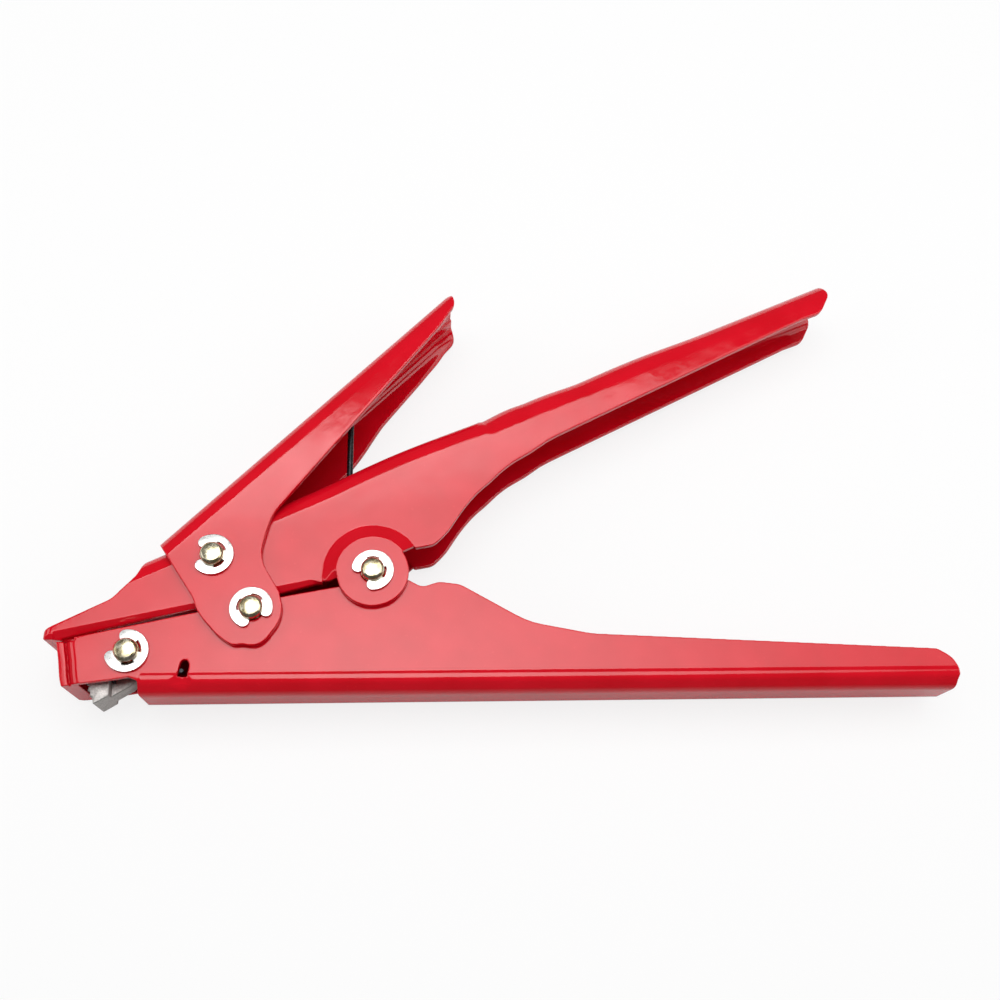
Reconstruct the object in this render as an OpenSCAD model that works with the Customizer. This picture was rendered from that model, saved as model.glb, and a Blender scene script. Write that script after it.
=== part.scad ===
// Cable tie tensioning and cutting hand tool.
// Three folded sheet channels turn on headed pins that are held by E-clips.
// The tool lies on its side: +X runs along the lower handle, +Y is above it, +Z is the clip side.
// The origin is on the main pivot, at the outer face of the pin head that it rests on.

/* [Sheet] */
// Outside width across the lower frame
body_w = 16; // [14.8:0.1:17.2]
// Sheet thickness of the frame, the upper body and the lever
sheet_t = 1.5; // [1.3:0.05:1.65]
// Side gap between sheets that slide over each other
sheet_gap = 0.25; // [0.2:0.05:0.35]
// Outside radius of the folds along the spines of the frame and the body
fold_r = 4.6; // [4:0.1:5.2]
// Outside radius of the fold along the upper handle, behind its die mark
grip_fold_r = 5.4; // [4.8:0.1:5.8]
// Outside radius of the sharp bends at the nose
nose_bend_r = 2; // [1.8:0.1:2.4]

/* [Lower frame] */
// Main pivot to the front of the nose, along the lower handle
nose_reach = 65; // [62:0.5:68]
// Main pivot to the end of the lower handle
handle_reach = 127.6; // [118:0.5:138]
// Main pivot down to the underside of the lower handle
spine_drop = 25.7; // [24.6:0.1:27]
// Radius of the pivot ear of the frame
ear_r = 6.7; // [6.2:0.1:7]
// Lean of the front wall of the nose
nose_lean = 12.5; // [10:0.5:15]
// Height of the front wall of the nose, along its lean
front_wall_l = 9.5; // [8.8:0.1:10.2]
// Width of the slot that holds the end of the gripper spring
anchor_slot_w = 2; // [1.6:0.1:2.4]
// Length of that slot between its round ends
anchor_slot_l = 2.2; // [1.6:0.1:3]

/* [Upper body] */
// Main pivot to the tip of the upper handle, along the lower handle
upper_reach = 111.4; // [104:0.5:119]
// Main pivot up to the spine at the tip of the upper handle
upper_rise = 76.2; // [71:0.2:81]
// How far the beak stands in front of the nose of the frame
beak_over = 3; // [2.6:0.1:3.6]
// Main pivot down to the underside of the beak
beak_drop = 14.1; // [13.8:0.1:14.3]
// Height of the slope where each side of the body steps into the frame
joggle_h = 1.9; // [1.6:0.1:2.1]
// Radius of the round face that stands out over the main pivot
boss_r = 7.9; // [7.6:0.1:8.4]
// Radial width of the slope round that face
boss_slope = 2.9; // [2.6:0.1:3.2]

/* [Cut lever] */
// Lever pin behind the nose side of the main pivot
lever_pin_x = 34; // [33:0.2:35]
// Lever pin above the main pivot
lever_pin_y = 3.5; // [3:0.1:4]
// Slope of the lever against the lower handle, in degrees
lever_angle = 45.5; // [44:0.5:47]
// Lever pin to the tip of the lever
lever_l = 84.2; // [78:0.5:90]
// Lever pin to the blade pin
blade_arm = 14.7; // [14.2:0.1:15.2]
// Direction of the blade pin from the lever pin, in degrees
blade_arm_angle = -53.3; // [-55:0.5:-52]
// Radius of the lobe round the blade pin
lobe_r = 7.5; // [7:0.1:8]
// Outside radius of the fold along the lever
lever_fold_r = 4.4; // [3.8:0.1:5]
// Gap from the spine of the body to the lever, over the lever pin
lever_gap = 2.9; // [2.85:0.05:3.1]
// Press of the lever from rest to a full cut, in degrees
press_angle = 15; // [12:1:15]

/* [Cutter] */
// Slope of the cutter against the lower handle, in degrees
cut_slope = 9.7; // [9:0.1:10.4]
// Thickness of the cutter bar
blade_t = 2.2; // [1.8:0.1:2.4]
// Blade pin line up to the underside of the cutter bar
blade_lift = 0.9; // [0.8:0.1:1.1]
// Length of the ground edge of the cutter
blade_edge_l = 3.2; // [2.6:0.1:4]

/* [Gripper] */
// Front of the nose back to the gripper pin
grip_set = 14.7; // [14.4:0.1:15]
// Gap from the cutter bar down to the gripper hub
grip_gap = 1.05; // [0.9:0.05:1.3]
// Radius of the gripper hub
grip_hub_r = 4.1; // [3.8:0.1:4.3]
// Gripper pin down to the lowest tooth of the jaw
jaw_l = 10.2; // [9.8:0.1:10.5]
// Width of the gripper jaw
jaw_w = 8.8; // [8.2:0.1:9.2]
// Number of teeth on the jaw
jaw_teeth = 4; // [3:1:5]

/* [Pins and clips] */
// Diameter of the four pins
pin_d = 5; // [4.6:0.1:5.2]
// Diameter of the pin heads
head_d = 8; // [7.4:0.1:8.6]
// Thickness of the pin heads
head_t = 1.2; // [1:0.1:1.5]
// How far a pin stands out of the sheet on the clip side
pin_end = 2.3; // [2:0.1:2.8]
// Diameter of a pin in its groove
groove_d = 4; // [3.7:0.1:4.1]
// Outside diameter of the E-clips
clip_d = 9; // [8.6:0.1:9.4]
// Thickness of the E-clips
clip_t = 0.7; // [0.5:0.1:0.8]
// Radial clearance of a pin in its holes
pin_clear = 0.05; // [0.03:0.01:0.08]
// Axial play of a pin between its head, the sheets and its clip
pin_play = 0.1; // [0.05:0.05:0.15]

/* [Springs] */
// Wire diameter of the main spring
main_wire_d = 1.4; // [1.2:0.1:1.5]
// Mean radius of the coil of the main spring
main_coil_r = 5.7; // [5.6:0.1:6]
// Rise of one turn of the main spring
main_pitch = 1.95; // [1.95:0.01:2.05]
// Whole turns of the main spring
main_turns = 4; // [3:1:4]
// Outside radius of the sleeve inside the main spring
sleeve_r = 4.2; // [4:0.1:4.3]
// Wire diameter of the gripper spring
grip_wire_d = 0.8; // [0.7:0.05:0.85]
// Mean radius of the coil of the gripper spring
grip_coil_r = 3.2; // [3.2:0.05:3.3]
// Rise of one turn of the gripper spring
grip_pitch = 1.3; // [1.28:0.01:1.35]

/* [Hidden] */
$fn = 96;
full_turn = 360;

paint = [0.80, 0.06, 0.10];
zinc = [0.90, 0.90, 0.89];
yellow_zinc = [0.80, 0.74, 0.52];
steel = [0.70, 0.69, 0.67];
spring_steel = [0.12, 0.12, 0.13];

// Overrun of cuts past the faces that they open
over = 1;
// Overlap of solids that are joined
joint_lap = 0.3;
// Clearance between parts that pass close to each other
near_gap = 0.3;
// Side clearance of the blade pin in its slots
slot_clear = 0.1;
// Turn of an arc from one point of an outline to the next
arc_step = 7;
// Most of an edge that one of its rounded corners may take
corner_room = 0.49;

// Levels measured from the middle plane of the tool
frame_half = body_w / 2;
frame_in = frame_half - sheet_t;
inner_half = frame_in - sheet_gap;
inner_in = inner_half - sheet_t;
outer_in = frame_half + sheet_gap;
outer_half = outer_in + sheet_t;
mid_z = outer_half + pin_play + head_t;
deep = 2 * (outer_half + pin_end + over);

// Places of the pivots and of the front
pin_r = pin_d / 2;
hole_r = pin_r + pin_clear;
beak_reach = nose_reach + beak_over;
frame_top_share = 0.568;
nose_top = [-nose_reach, -spine_drop * frame_top_share];
main_at = [0, 0];
lever_at = [-lever_pin_x, lever_pin_y];
blade_at = lever_at + blade_arm * [cos(blade_arm_angle), sin(blade_arm_angle)];
blade_in_angle = blade_arm_angle - press_angle;
blade_in_at = lever_at + blade_arm * [cos(blade_in_angle), sin(blade_in_angle)];
grip_x = grip_set - nose_reach;
bar_y = blade_at[1] + blade_lift / cos(cut_slope) + (grip_x - blade_at[0]) * tan(cut_slope);
grip_at = [grip_x, bar_y - (grip_hub_r + grip_gap) / cos(cut_slope)];

// Outlines: a point is [x, y, corner radius], and a corner becomes an arc
function unit(v) = v / norm(v);
function across(v) = [-v[1], v[0]];
function flat_point(p) = [p[0], p[1]];
function turned(v, a) = [v[0] * cos(a) - v[1] * sin(a), v[0] * sin(a) + v[1] * cos(a)];
function wrapped(a) = a > 180 ? a - full_turn : a < -180 ? a + full_turn : a;
function corner_arc(a, b, c, r) =
    let (
        u = unit(a - b),
        w = unit(c - b),
        half = acos(u * w) / 2,
        room = corner_room * min(norm(a - b), norm(c - b)),
        set = min(r / tan(half), room),
        rad = set * tan(half),
        centre = b + unit(u + w) * rad / sin(half),
        from_v = b + u * set - centre,
        to_v = b + w * set - centre,
        start = atan2(from_v[1], from_v[0]),
        sweep = wrapped(atan2(to_v[1], to_v[0]) - start),
        steps = max(1, ceil(abs(sweep) / arc_step))
    )
    [for (i = [0 : steps]) centre + rad * [cos(start + sweep * i / steps), sin(start + sweep * i / steps)]];
function rounded(points) =
    [for (i = [0 : len(points) - 1])
        let (
            n = len(points),
            a = flat_point(points[(i + n - 1) % n]),
            b = flat_point(points[i]),
            c = flat_point(points[(i + 1) % n]),
            r = points[i][2]
        )
        each (r > 0 ? corner_arc(a, b, c, r) : [b])];
// Share tables: [share of size x, share of size y, corner radius as a share of size y]
function scaled(shares, sx, sy) = [for (s = shares) [s[0] * sx, s[1] * sy, s[2] * abs(sy)]];
// Slot with round ends about a and b, as an outline
function obround(a, b, r) =
    let (u = unit(b - a) * r, w = across(u))
    rounded([for (p = [a - u + w, a - u - w, b + u - w, b + u + w]) concat(p, [r])]);
function moved(points, to) = [for (p = points) [p[0] + to[0], p[1] + to[1], p[2]]];

module slab(z0, z1) {
    translate([0, 0, z0]) linear_extrude(z1 - z0) children();
}

module both_sides() {
    children();
    mirror([0, 0, 1]) children();
}

module hole(at, r) {
    translate([at[0], at[1], -deep / 2]) cylinder(h = deep, r = r);
}

// Cross-section of a folded channel, with its spine along y = 0 and its walls below it
module fold_shape(width, radius, depth) {
    translate([radius - width / 2, -depth]) square([width - 2 * radius, depth]);
    translate([-width / 2, -depth]) square([width, depth - radius]);
    for (side = [-1, 1]) translate([side * (width / 2 - radius), -radius]) circle(r = radius);
}

module channel_section(width, radius, depth) {
    difference() {
        fold_shape(width, radius, depth);
        translate([0, -sheet_t]) fold_shape(width - 2 * sheet_t, radius - sheet_t, depth);
    }
}

// A section that runs from a start point along an angle
module along(start, angle, length) {
    translate([start[0], start[1], 0]) rotate([0, 0, angle]) rotate([0, 90, 0])
        linear_extrude(length) children();
}

// One end tab, bent in from the +Z side: x goes inward from the front, y is across the tool
module tab_shape(set, reach, radius) {
    bend_y = frame_half - radius;
    difference() {
        union() {
            translate([set, -reach]) square([sheet_t, bend_y + reach]);
            translate([set + radius - joint_lap, frame_in]) square([2 * joint_lap, sheet_t]);
            intersection() {
                translate([set + radius, bend_y]) circle(r = radius);
                translate([set, bend_y - joint_lap]) square([radius, radius + joint_lap]);
            }
        }
        translate([set + radius, bend_y]) circle(r = radius - sheet_t);
        translate([set + sheet_t, bend_y - radius]) square([radius, radius + joint_lap]);
    }
}

// Lower frame: directions down and inward from the front wall, and places along the nose
nose_axis = [sin(nose_lean), -cos(nose_lean)];
nose_in = [cos(nose_lean), sin(nose_lean)];
tab_step = sheet_t + sheet_gap;
near_front = tab_step + nose_bend_r;
tab_short = 0.6;
front_foot = nose_top + nose_in * nose_bend_r + nose_axis * front_wall_l;
web_start_share = 0.76;
web_start_x = -nose_reach * web_start_share;
// Longer than any part of the tool
far = 2 * handle_reach;

// Outline of the frame from the nose over the top to the handle, and back along the underside
frame_top_shares = [[-0.565, -0.331, 0.6], [-0.126, -0.121, 0]];
frame_waist_shares = [
    [0.056, -0.047, 0], [0.083, -0.121, 0.1], [0.112, -0.074, 0.12], [0.148, -0.097, 0.2],
    [0.262, -0.424, 0.7], [0.369, -0.529, 0.8]
];
handle_end_shares = [[0.967, -0.676, 0.14], [1.004, -0.76, 0.13], [1, -1, 0.14]];
web_front_shares = [[-0.712, -1, 0.06], [-0.738, -0.86, 0.05], [-0.764, -0.832, 0]];

function frame_outline() = rounded(concat(
    [concat(nose_top + nose_in * nose_bend_r, [0])],
    scaled(frame_top_shares, nose_reach, spine_drop),
    scaled(frame_waist_shares, handle_reach, spine_drop),
    scaled(handle_end_shares, handle_reach, spine_drop),
    scaled(web_front_shares, nose_reach, spine_drop),
    [concat(front_foot, [0])]
));

// Plane region behind a line that runs along the front wall
module behind_nose(set) {
    translate(nose_top) rotate(nose_lean) translate([set, -far]) square([far, 2 * far]);
}

// Side wall beside the end tab
module nose_cheek(set) {
    intersection() {
        polygon(frame_outline());
        translate([-far, -far]) square([far + web_start_x + joint_lap, 2 * far]);
        behind_nose(set);
    }
}

// Notch that lets the blade pin move with the lever and leave as the handles close
notch_r = pin_r + near_gap;
notch_turn = 14;
notch_corner_share = 0.7;
module blade_notch() {
    out_a = unit(blade_at);
    out_b = unit(blade_in_at);
    slab(-deep / 2, deep / 2) polygon(rounded([
        concat(blade_at + notch_r * (across(out_a) - out_a), [pin_r * notch_corner_share]),
        concat(blade_in_at + notch_r * (across(out_b) + out_b), [pin_r * notch_corner_share]),
        concat(turned(blade_in_at + notch_r * out_b, -notch_turn), [0]),
        concat(turned(blade_at - notch_r * out_a, -notch_turn), [0])
    ]));
}

// Slot for the end of the gripper spring
anchor_shares = [-0.592, -0.763];
anchor_lean = 12;
anchor_top = [nose_reach * anchor_shares[0], spine_drop * anchor_shares[1]];
anchor_foot = anchor_top + anchor_slot_l * [-sin(anchor_lean), -cos(anchor_lean)];
module anchor_slot() {
    slab(0, frame_half + over) polygon(obround(anchor_top, anchor_foot, anchor_slot_w / 2));
}

// Two end tabs that overlap, the one from the -Z side in front, with level top edges
module nose_tabs() {
    intersection() {
        translate([nose_top[0], nose_top[1], 0]) rotate([0, 0, nose_lean]) rotate([90, 0, 0])
            linear_extrude(front_wall_l) {
                tab_shape(tab_step, frame_in - near_gap, nose_bend_r);
                mirror([0, 1]) tab_shape(0, frame_half - tab_short, nose_bend_r);
            }
        translate([-far, nose_top[1] - far, -deep]) cube([far, far, 2 * deep]);
    }
}

module lower_frame() {
    color(paint) translate([0, 0, mid_z]) difference() {
        union() {
            intersection() {
                slab(-frame_half, frame_half) polygon(frame_outline());
                translate([web_start_x, -spine_drop, 0]) rotate([0, 90, 0])
                    linear_extrude(far) mirror([0, 1]) channel_section(body_w, fold_r, spine_drop + ear_r);
            }
            slab(frame_in, frame_half) nose_cheek(near_front);
            slab(-frame_half, -frame_in) nose_cheek(nose_bend_r);
            both_sides() slab(frame_in, frame_half) circle(r = ear_r);
            nose_tabs();
        }
        hole(main_at, hole_r);
        hole(grip_at, hole_r);
        blade_notch();
        anchor_slot();
    }
}

// Upper body: the spine bends at its middle point, and the sides step in below the crease
spine_front_shares = [-0.716, 0.05];
spine_bend_shares = [0.2155, 0.5013];
spine_back_shares = [0.974, 1];
spine_a = [beak_reach * spine_front_shares[0], upper_rise * spine_front_shares[1]];
spine_b = [upper_reach * spine_bend_shares[0], upper_rise * spine_bend_shares[1]];
spine_c = [upper_reach * spine_back_shares[0], upper_rise * spine_back_shares[1]];
body_slope = atan2(spine_b[1] - spine_a[1], spine_b[0] - spine_a[0]);
grip_slope = atan2(spine_c[1] - spine_b[1], spine_c[0] - spine_b[0]);
wall_depth = spine_drop + boss_r;
crease_shares = [[-1, -0.93], [-0.147, -0.055]];
crease = [for (s = crease_shares) [beak_reach * s[0], beak_drop * s[1]]];

// Round face over the main pivot: its slope runs from the crease to the edge of the spine
boss_from = 181;
boss_to = 35;
boss_out = boss_r + boss_slope;

// Outline of the body: underside from the pivot to the beak, front, and the handle
low_edge_shares = [
    [-0.152, -0.23, 0], [-0.163, -0.4, 0], [-0.25, -0.56, 0.1], [-0.31, -0.78, 0.2], [-0.36, -0.95, 0.3],
    [-0.43, -1.08, 0.3], [-0.49, -0.95, 0.3], [-0.53, -0.82, 0.1], [-0.69, -0.86, 0.1],
    [-0.79, -0.88, 0.1], [-0.83, -1.04, 0.03], [-0.868, -1.05, 0.03], [-0.88, -1, 0.02], [-1.02, -1, 0]
];
nose_edge_shares = [[-1.02, -0.8, 0], [-0.97, -0.8, 0], [-0.803, -0.39, 0.4], [-0.735, -0.02, 0.3]];
handle_low_shares = [[0.07, 0.073, 0], [0.118, 0.086, 0.05], [0.153, 0.128, 0.07], [0.34, 0.412, 0.35]];
handle_tip_shares = [[0.935, 0.86, 0.035], [0.978, 0.885, 0.05], [1.003, 0.955, 0.04], [0.985, 1.02, 0]];

function backwards(list) = [for (i = [len(list) - 1 : -1 : 0]) list[i]];
function body_outline() = rounded(concat(
    scaled(low_edge_shares, beak_reach, beak_drop),
    scaled(nose_edge_shares, beak_reach, beak_drop),
    [concat(spine_a, [0]), concat(spine_a + over * [0, 2], [0]), concat(spine_c + over * [0, 2], [0])],
    backwards(scaled(handle_tip_shares, upper_reach, upper_rise)),
    backwards(scaled(handle_low_shares, upper_reach, upper_rise))
));

// Filled form between the folds, set in from the outer faces; the fold gets wider behind spine_b
module fold_block(inset) {
    front = spine_b - far * [cos(body_slope), sin(body_slope)];
    back = spine_b - joint_lap * [cos(grip_slope), sin(grip_slope)];
    along(front, body_slope, far)
        translate([0, -inset]) fold_shape(body_w - 2 * inset, fold_r - inset, wall_depth);
    along(back, grip_slope, far)
        translate([0, -inset]) fold_shape(body_w - 2 * inset, grip_fold_r - inset, wall_depth);
}

// Filled form that narrows below the crease, so that the sides run inside the frame there
module crease_block(inset) {
    way = unit(crease[1] - crease[0]);
    wide = frame_half - inset + over * (frame_half - inner_half) / joggle_h;
    narrow = inner_half - inset;
    along(crease[0] - far * way, atan2(way[1], way[0]), 3 * far) polygon([
        [-wide, far], [-wide, over], [-narrow, -joggle_h], [-narrow, -far],
        [narrow, -far], [narrow, -joggle_h], [wide, over], [wide, far]
    ]);
}

// Sheet of the body without its beak, its round faces and its holes
module body_sheet() {
    difference() {
        intersection() {
            fold_block(0);
            crease_block(0);
            slab(-deep, deep) polygon(body_outline());
        }
        intersection() {
            fold_block(sheet_t);
            crease_block(sheet_t);
        }
        hole(main_at, boss_out);
        beak_room();
    }
}

// Slope and round face that stand out over the ear of the frame
module boss() {
    rotate([0, 0, boss_to]) rotate_extrude(angle = boss_from - boss_to) polygon([
        [boss_out + joint_lap, frame_in], [boss_out, frame_in], [boss_r, outer_in],
        [boss_r - joint_lap, outer_in], [boss_r - joint_lap, outer_half], [boss_r, outer_half],
        [boss_out, frame_half], [boss_out + joint_lap, frame_half]
    ]);
    slab(outer_in, outer_half) circle(r = boss_r - joint_lap / 2);
}

// Beak: two end tabs that overlap, cut to the side outline and drawn in at the underside
beak_edge_shares = [
    [-1, -0.87, 0.1], [-0.965, -0.79, 0.06], [-0.93, -0.7, 0], [-0.93, -1, 0], [-1, -1, 0.04]
];
beak_taper = [crease[0][1], crease[0][1] - joggle_h];
module beak() {
    intersection() {
        translate([-beak_reach, 0, 0]) rotate([90, 0, 0]) linear_extrude(beak_drop) {
            tab_shape(0, frame_half - tab_short, nose_bend_r);
            mirror([0, 1]) tab_shape(tab_step, frame_in - near_gap, nose_bend_r);
        }
        slab(-deep, deep) polygon(rounded(scaled(beak_edge_shares, beak_reach, beak_drop)));
        translate([-beak_reach - over, 0, 0]) rotate([0, 90, 0]) linear_extrude(beak_over + 2 * nose_bend_r)
            polygon([
                [-frame_half - over, 0], [-frame_half - over, beak_taper[0]], [-frame_half, beak_taper[0]],
                [-inner_half, beak_taper[1]], [inner_half, beak_taper[1]],
                [frame_half, beak_taper[0]], [frame_half + over, beak_taper[0]], [frame_half + over, 0]
            ]);
    }
}

// Room at the front that the bends of the beak take up, and below its underside
beak_back_share = 0.88;
module beak_room() {
    low = -2 * beak_drop;
    near_x = nose_bend_r - beak_reach;
    far_x = near_x + tab_step;
    translate([-2 * beak_reach, low, 0]) cube([2 * beak_reach + near_x, 2 * beak_drop, deep]);
    translate([-2 * beak_reach, low, -deep]) cube([2 * beak_reach + far_x, 2 * beak_drop, deep]);
    translate([-2 * beak_reach, low, -deep])
        cube([(2 - beak_back_share) * beak_reach, beak_drop, 2 * deep]);
}

// Slot round the lever pin that lets the blade pin swing
function arc(centre, r, from, to) =
    let (n = ceil(abs(to - from) / arc_step))
    [for (i = [0 : n]) let (a = from + (to - from) * i / n) centre + r * [cos(a), sin(a)]];
module blade_pin_slot() {
    slot_r = pin_r + slot_clear;
    slab(-deep / 2, deep / 2) polygon(concat(
        arc(lever_at, blade_arm + slot_r, blade_in_angle, blade_arm_angle),
        arc(blade_at, slot_r, blade_arm_angle, blade_arm_angle + 180),
        arc(lever_at, blade_arm - slot_r, blade_arm_angle, blade_in_angle),
        arc(blade_in_at, slot_r, blade_in_angle + 180, blade_in_angle + full_turn)
    ));
}

// Slot in the spine for the upper leg of the main spring
leg_slot_l = 8;
leg_slot_play = 1;
leg_slot_w = main_wire_d + leg_slot_play;
module leg_slot() {
    x0 = -main_coil_r - leg_slot_w / 2;
    start = spine_b + [x0 - spine_b[0], (x0 - spine_b[0]) * tan(body_slope)];
    translate([start[0], start[1], main_leg_z]) rotate([0, 0, body_slope]) rotate([90, 0, 0])
        translate([0, 0, -over]) linear_extrude(fold_r + over)
            polygon(obround([0, 0], [leg_slot_l, 0], leg_slot_w / 2));
}

// Ledge under the cutter bar, bent in from the inner walls
ledge_l = 3.4;
ledge_w = 1.4;
module cutter_ledges() {
    both_sides() translate([blade_at[0], blade_at[1], 0]) rotate([0, 0, cut_slope])
        translate([blade_tip_x + blade_edge_l, blade_lift - slot_clear - sheet_t, inner_in - ledge_w])
            cube([ledge_l, sheet_t, ledge_w + sheet_t / 2]);
}

module upper_body() {
    color(paint) translate([0, 0, mid_z]) difference() {
        union() {
            body_sheet();
            both_sides() boss();
            beak();
            cutter_ledges();
        }
        hole(main_at, hole_r);
        hole(lever_at, hole_r);
        blade_pin_slot();
        leg_slot();
    }
}

// Cut lever: its spine clears the spine of the body by the gap over the lever pin
spine_over_pin = (spine_b - lever_at) * [-sin(body_slope), cos(body_slope)];
lever_rise = spine_over_pin + lever_gap + sheet_t;
lobe_set_share = 0.16;
lobe_at = blade_at - lobe_r * [lobe_set_share, 0];
// Outline of the lever: heel over the pin, lobe round the blade pin, root and tip
lever_root_shares = [[0.98, -0.551, 0.2], [0.66, -0.02, 0.6], [0.81, 0.63, 0.8]];
lever_tip_shares = [[0.891, 0.483, 0.5], [0.972, 0.624, 0.3], [1.005, 0.97, 0.2], [0.995, 1.2, 0]];
lever_heel_shares = [-0.39, 0.238, -1.36];

function on_lever(p) = concat(lever_at + turned([p[0], p[1]], lever_angle), [p[2]]);
function lever_outline() = rounded(concat(
    [on_lever([lever_heel_shares[0] * blade_arm, lever_rise + over, 0])],
    [concat(lever_at + blade_arm * [lever_heel_shares[1], lever_heel_shares[2]], [lobe_r])],
    [concat(lobe_at - [0, lobe_r], [0]), concat(lobe_at, [0]), concat(lobe_at + [lobe_r, 0], [0])],
    moved(scaled(lever_root_shares, blade_arm, blade_arm), lever_at),
    [for (p = scaled(lever_tip_shares, lever_l, lever_rise)) on_lever(p)]
));

module cut_lever() {
    start = lever_at + turned([-blade_arm, lever_rise], lever_angle);
    color(paint) translate([0, 0, mid_z]) difference() {
        intersection() {
            slab(-outer_half, outer_half) {
                polygon(lever_outline());
                translate(lobe_at) circle(r = lobe_r);
            }
            along(start, lever_angle, lever_l + 2 * blade_arm)
                channel_section(2 * outer_half, lever_fold_r, lever_rise + blade_arm + 2 * lobe_r);
        }
        hole(lever_at, hole_r);
        hole(blade_at, hole_r);
    }
}

// Cutter, drawn from the blade pin with the blade towards -x
cut_way = [cos(cut_slope), sin(cut_slope)];
beak_in_x = -beak_reach + 2 * sheet_t + sheet_gap;
blade_shift = blade_in_at - blade_at;
blade_travel = -(blade_shift * cut_way);
blade_drop = blade_shift * across(cut_way);
blade_tip_x = (beak_in_x + near_gap - blade_at[0]) / cut_way[0] + blade_travel + blade_lift * tan(cut_slope);
slot_wall = 2.3;
tail_x = pin_r + slot_wall;
blade_neck_share = 0.8;
module cutter_blade() {
    slot_r = pin_r + slot_clear;
    color(steel) translate([blade_at[0], blade_at[1], mid_z]) rotate([0, 0, cut_slope]) difference() {
        slab(sheet_gap - inner_in, inner_in - sheet_gap) polygon(rounded([
            [blade_tip_x, blade_lift, 0], [-tail_x, blade_lift, blade_neck_share * blade_t],
            [-tail_x, blade_drop - tail_x, blade_t], [tail_x, blade_drop - tail_x, blade_t],
            [tail_x, tail_x, blade_t], [-tail_x, tail_x, blade_t],
            [-2 * tail_x, blade_lift + blade_t, blade_t],
            [blade_tip_x + blade_edge_l, blade_lift + blade_t, 0]
        ]));
        hole(main_at, slot_r);
        hole([0, blade_drop], slot_r);
        translate([-slot_r, blade_drop, -deep / 2]) cube([2 * slot_r, -blade_drop, deep]);
    }
}

// Toothed jaw that lets the tie through one way
jaw_front_angle = 165;
jaw_back_angle = -30;
jaw_back_shares = [0.01, -0.6];
jaw_from = 211;
jaw_to = 237;
jaw_growth_l = 2.08;
tooth_h = 0.6;
tooth_lean_share = 0.75;
jaw_far_r = jaw_l / -sin(jaw_to);
jaw_pitch = (jaw_to - jaw_from) / jaw_teeth;
step_x = -(grip_coil_r + grip_wire_d / 2 + sheet_gap / 2);
hub_half = 2.4;
function jaw_point(a, cut) =
    let (grown = jaw_growth_l * (jaw_to - a) / (jaw_to - jaw_from))
    (jaw_far_r - grown - cut) * [cos(a), sin(a)];
function jaw_outline() = concat(
    [grip_hub_r * [cos(jaw_front_angle), sin(jaw_front_angle)]],
    [for (i = [0 : jaw_teeth - 1]) let (a = jaw_from + i * jaw_pitch)
        each [jaw_point(a, tooth_h), jaw_point(a + tooth_lean_share * jaw_pitch, 0)]],
    [jaw_point(jaw_to, 0)],
    [jaw_l * jaw_back_shares, grip_hub_r * [cos(jaw_back_angle), sin(jaw_back_angle)]]
);

module gripper_jaw() {
    color(steel) translate([grip_at[0], grip_at[1], mid_z]) difference() {
        union() {
            slab(-jaw_w / 2, jaw_w / 2) intersection() {
                polygon(jaw_outline());
                translate([-2 * jaw_l, -2 * jaw_l]) square([2 * jaw_l + step_x, 4 * jaw_l]);
            }
            slab(-hub_half, hub_half) {
                polygon(jaw_outline());
                circle(r = grip_hub_r);
            }
            slab(near_gap - frame_in, 0) circle(r = grip_hub_r);
        }
        hole(main_at, hole_r);
    }
}

// Pins and clips
end_bevel_h = 0.4;
module headed_pin(at, level) {
    groove_z = level + pin_play;
    top = level + pin_end;
    color(yellow_zinc) translate([at[0], at[1], mid_z]) {
        translate([0, 0, -groove_z - head_t]) cylinder(h = head_t, d = head_d);
        translate([0, 0, -groove_z]) cylinder(h = 2 * groove_z, r = pin_r);
        translate([0, 0, groove_z]) cylinder(h = clip_t, d = groove_d);
        translate([0, 0, groove_z + clip_t]) cylinder(h = top - end_bevel_h - groove_z - clip_t, r = pin_r);
        translate([0, 0, top - end_bevel_h]) cylinder(h = end_bevel_h, r1 = pin_r, r2 = pin_r - end_bevel_h);
    }
}

clip_pocket_share = 0.67;
clip_pocket_from = 24;
clip_pocket_to = 76;
clip_arm_end = 128;
// Directions in which the clips are open
main_clip_turn = 219;
lever_clip_turn = 176;
blade_clip_turn = -65;
grip_clip_turn = 150;
fan_steps = 4;
function fan(from, to, r) = concat(
    [[0, 0]],
    [for (i = [0 : fan_steps]) let (a = from + (to - from) * i / fan_steps) r * [cos(a), sin(a)]]
);
module e_clip(at, level, opening) {
    tip_r = (clip_d - groove_d) / 4;
    mid_r = (clip_d + groove_d) / 4;
    color(zinc) translate([at[0], at[1], mid_z]) rotate([0, 0, opening + 180])
        slab(level + pin_play, level + pin_play + clip_t) {
            difference() {
                circle(d = clip_d);
                circle(d = groove_d);
                for (side = [-1, 1]) intersection() {
                    circle(d = clip_pocket_share * clip_d);
                    polygon(fan(side * clip_pocket_from, side * clip_pocket_to, clip_d));
                }
                polygon(fan(clip_arm_end, full_turn - clip_arm_end, clip_d));
            }
            for (side = [-1, 1]) translate(mid_r * [cos(clip_arm_end), side * sin(clip_arm_end)])
                circle(r = tip_r);
        }
}

module main_pin() { headed_pin(main_at, outer_half); }
module lever_pin() { headed_pin(lever_at, outer_half); }
module blade_pin() { headed_pin(blade_at, outer_half); }
module gripper_pin() { headed_pin(grip_at, frame_half); }
module main_pin_clip() { e_clip(main_at, outer_half, main_clip_turn); }
module lever_pin_clip() { e_clip(lever_at, outer_half, lever_clip_turn); }
module blade_pin_clip() { e_clip(blade_at, outer_half, blade_clip_turn); }
module gripper_pin_clip() { e_clip(grip_at, frame_half, grip_clip_turn); }

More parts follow.
